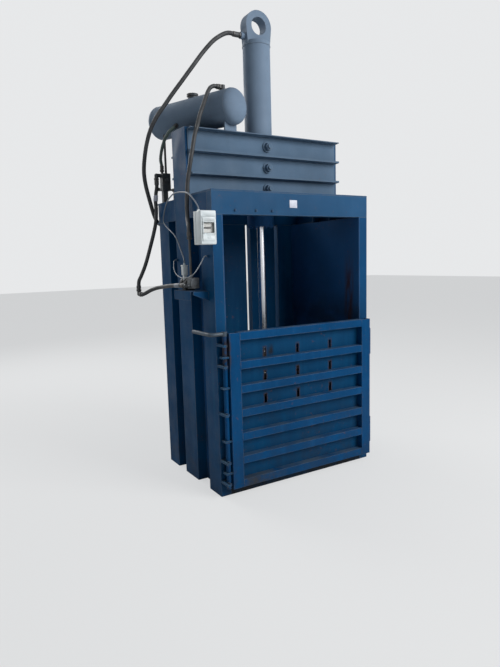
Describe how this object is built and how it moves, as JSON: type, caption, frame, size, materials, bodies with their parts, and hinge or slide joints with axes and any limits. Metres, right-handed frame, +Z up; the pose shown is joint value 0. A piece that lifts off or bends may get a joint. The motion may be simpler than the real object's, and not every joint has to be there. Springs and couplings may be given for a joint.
{
  "type": "vertical baling press",
  "caption": "Upright hydraulic baling press of welded channel steel: ribbed front door with hook lock, open loading mouth, ram under a tall cylinder, tank and side pump.",
  "frame": {"origin": "on the floor under the centre of the base, at the bottom face of the middle base channel", "axes": "+X to the right seen from the front, -Y towards the front where the door is, +Z up"},
  "size_m": [1.437, 1.1687, 3.152],
  "materials": {
    "blue_paint": "worn gloss",
    "dark_blue_paint": "dull",
    "worn_steel": "worn",
    "dark_iron": "dull",
    "dark_steel": "satin",
    "bright_steel": "satin",
    "chromed_steel": "polished",
    "black_rubber": "matt",
    "green_rubber": "matt",
    "grey_cable": "matt",
    "pale_plastic": "satin",
    "beige_plastic": "satin",
    "dark_plastic": "satin"
  },
  "bodies": {
    "press_frame": {"base_frame": "blue_paint", "floor_plates": "worn_steel", "left_front_column": "blue_paint", "left_mid_column": "blue_paint", "left_rear_column": "blue_paint", "right_front_column": "blue_paint", "right_mid_column": "blue_paint", "right_rear_column": "blue_paint", "wall_sheets": "dark_blue_paint", "side_rails": "blue_paint", "rear_posts": "blue_paint", "rear_top_beam": "blue_paint", "lintel": "blue_paint", "roof_plate": "blue_paint", "head_front_beams": "blue_paint", "head_rear_beams": "blue_paint", "head_bolts": "blue_paint", "cylinder_saddles": "blue_paint", "cylinder_barrel": "blue_paint", "cylinder_eye": "blue_paint", "gland": "dark_iron", "tank_shell": "blue_paint", "tank_feet": "blue_paint", "tank_fittings": "dark_iron", "pump_shelf": "blue_paint", "motor_body": "dark_iron", "fan_cover": "dark_iron", "terminal_box": "pale_plastic", "bell_housing": "dark_iron", "pump_body": "bright_steel", "steel_pipes": "dark_steel", "relief_block": "dark_iron", "valve_block": "dark_iron", "cap_hose": "black_rubber", "pump_hose": "black_rubber", "suction_hose": "black_rubber", "return_hose": "green_rubber", "rod_hose": "black_rubber", "hose_ends": "dark_steel", "motor_cable": "grey_cable", "control_wire": "grey_cable", "side_brackets": "blue_paint", "breaker_box": "pale_plastic", "breaker": "beige_plastic", "hinge_leaves": "blue_paint", "hinge_pins": "dark_steel", "lock_keepers": "blue_paint"},
    "door": {"door_frame": "blue_paint", "door_panel": "blue_paint", "lock_bearings": "blue_paint"},
    "lock": {"lock_bar": "blue_paint", "lock_handle": "bright_steel"},
    "ram": {"piston": "dark_steel", "piston_rod": "chromed_steel", "platen": "worn_steel"},
    "valve_lever": {"valve_lever": "bright_steel"},
    "box_window": {"box_window": "pale_plastic"},
    "breaker_toggle": {"breaker_toggle": "dark_plastic"},
    "motor_fan": {"motor_fan": "dark_plastic"},
    "filler_cap": {"filler_cap": "dark_iron"}
  },
  "joints": [
    {"name": "door_hinge", "type": "hinge", "parent": "press_frame", "child": "door", "pos_m": [0.6025, -0.438, 0.55], "axis": [0, 0, 1], "range_deg": [0, 115]},
    {"name": "lock_turn", "type": "hinge", "parent": "door", "child": "lock", "pos_m": [-0.578, -0.44, 0.55], "axis": [0, 0, 1], "range_deg": [-8.5, 36]},
    {"name": "ram_slide", "type": "slide", "parent": "press_frame", "child": "ram", "axis": [0, 0, 1], "range_m": [-0.1, 0.86]},
    {"name": "valve_lever_tilt", "type": "hinge", "parent": "press_frame", "child": "valve_lever", "pos_m": [-0.45, 0.541, 1.758], "axis": [1, 0, 0], "range_deg": [-20, 20], "stiffness_Nm_per_rad": 20},
    {"name": "window_flap", "type": "hinge", "parent": "press_frame", "child": "box_window", "pos_m": [-0.6685, -0.4676, 1.735], "axis": [-1, 0, 0], "range_deg": [0, 120]},
    {"name": "toggle_throw", "type": "hinge", "parent": "press_frame", "child": "breaker_toggle", "pos_m": [-0.6685, -0.448, 1.674], "axis": [1, 0, 0], "range_deg": [-20, 20]},
    {"name": "fan_spin", "type": "hinge", "parent": "press_frame", "child": "motor_fan", "pos_m": [-0.672, -0.128, 1.349], "axis": [0, 1, 0], "continuous": true},
    {"name": "cap_turn", "type": "hinge", "parent": "press_frame", "child": "filler_cap", "pos_m": [-0.41998, 0.18697, 2.594], "axis": [0, 0, 1], "continuous": true}
  ]
}
